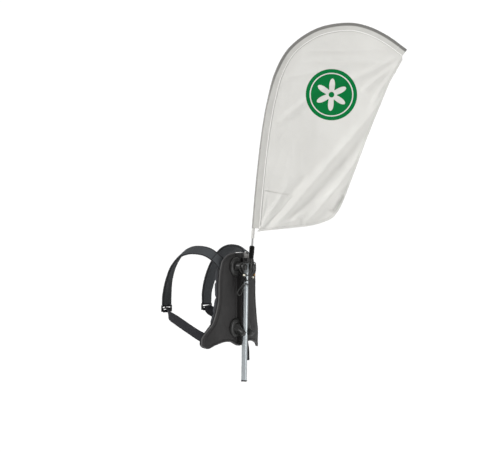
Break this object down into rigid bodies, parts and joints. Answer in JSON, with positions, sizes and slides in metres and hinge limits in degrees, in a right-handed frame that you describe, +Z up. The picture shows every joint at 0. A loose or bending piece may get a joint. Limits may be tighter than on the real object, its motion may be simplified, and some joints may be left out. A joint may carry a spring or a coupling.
{
  "type": "backpack teardrop flag",
  "caption": "Backpack-worn teardrop flag: moulded back shell with harness straps, four horns lashing a tube, and a bent sleeved mast carrying a pennant.",
  "frame": {"origin": "centre of the back pad's flat face, where it lies on the wearer's back", "axes": "+Z up along the wearer's back, +Y forward out of the back pad's face into the wearer, +X to the wearer's right"},
  "size_m": [0.5542, 0.8065, 1.3991],
  "materials": {
    "shell": "satin leather-grain moulding",
    "foam": "fabric-covered foam",
    "board": "matt sheet",
    "pad_mesh": "spacer mesh",
    "piping": "satin",
    "horn_plastic": "semi-gloss",
    "steel": "satin",
    "tube_aluminium": "clear anodised",
    "black_plastic": "satin",
    "grip_rubber": "glossy",
    "strap_fabric": "air-mesh and webbing",
    "webbing": "woven",
    "mast_fibreglass": "pultruded rod, satin",
    "flag_cloth": "satin knit polyester",
    "hem_cloth": "doubled hem cloth",
    "cord": "braided elastic",
    "bead": "ivory",
    "brass": "tarnished brass"
  },
  "bodies": {
    "harness": {"back_shell": "shell", "rim_piping_lower": "piping", "rim_piping_upper": "piping", "core_block": "foam", "frame_board": "board", "back_pad": "pad_mesh", "spine_rail": "shell", "horn_upper_left": "horn_plastic", "horn_upper_right": "horn_plastic", "horn_lower_left": "horn_plastic", "horn_lower_right": "horn_plastic", "horn_bolt_upper_left": "steel", "horn_bolt_upper_right": "steel", "horn_bolt_lower_left": "steel", "horn_bolt_lower_right": "steel", "shoulder_strap_left": "strap_fabric", "shoulder_strap_right": "strap_fabric", "lower_webbing_left": "webbing", "lower_webbing_right": "webbing", "webbing_tail": "webbing", "lash_cord_inner": "cord", "lash_cord_outer": "cord", "slack_cord": "cord", "cord_lock_body": "black_plastic", "lash_bead_left": "bead", "lash_crimp": "brass", "lash_bead_right": "bead"},
    "tube": {"tube_pole": "tube_aluminium", "tube_end_cap": "black_plastic", "tube_top_plug": "black_plastic", "holder_head": "steel", "holder_nut": "steel", "mast_grip": "grip_rubber", "holder_stem": "steel"},
    "swivel_bush": {"socket_bush": "black_plastic"},
    "mast_and_flag": {"mast_lower": "mast_fibreglass", "mast_ferrule": "steel", "mast_upper": "mast_fibreglass", "mast_tip_cap": "black_plastic", "sleeve_cuff": "hem_cloth", "flag_sleeve": "flag_cloth", "sleeve_end": "hem_cloth", "flag_panel": "flag_cloth", "corner_patch": "flag_cloth"},
    "adjuster_left": {"strap_adjuster_left": "black_plastic"},
    "adjuster_right": {"strap_adjuster_right": "black_plastic"},
    "lock_button": {"cord_lock_button": "black_plastic"}
  },
  "joints": [
    {"name": "tube_height", "type": "slide", "parent": "harness", "child": "tube", "axis": [0, -0.0209, 0.9998], "range_m": [-0.009, 0.1]},
    {"name": "mast_swivel", "type": "hinge", "parent": "tube", "child": "swivel_bush", "pos_m": [0, -0.1198, 0.203], "axis": [0.0429, -0.055, 0.9976], "continuous": true},
    {"name": "mast_lift_out", "type": "slide", "parent": "swivel_bush", "child": "mast_and_flag", "axis": [0.0429, -0.055, 0.9976], "range_m": [0, 0.05]},
    {"name": "adjuster_left_tilt", "type": "hinge", "parent": "harness", "child": "adjuster_left", "pos_m": [-0.126, 0.203, -0.0091], "axis": [1, 0, 0], "range_deg": [0, 35]},
    {"name": "adjuster_right_tilt", "type": "hinge", "parent": "harness", "child": "adjuster_right", "pos_m": [0.126, 0.203, -0.0091], "axis": [1, 0, 0], "range_deg": [0, 35]},
    {"name": "cord_lock_press", "type": "slide", "parent": "harness", "child": "lock_button", "axis": [0, 1, 0], "range_m": [0, 0.0033], "stiffness_N_per_m": 600}
  ]
}
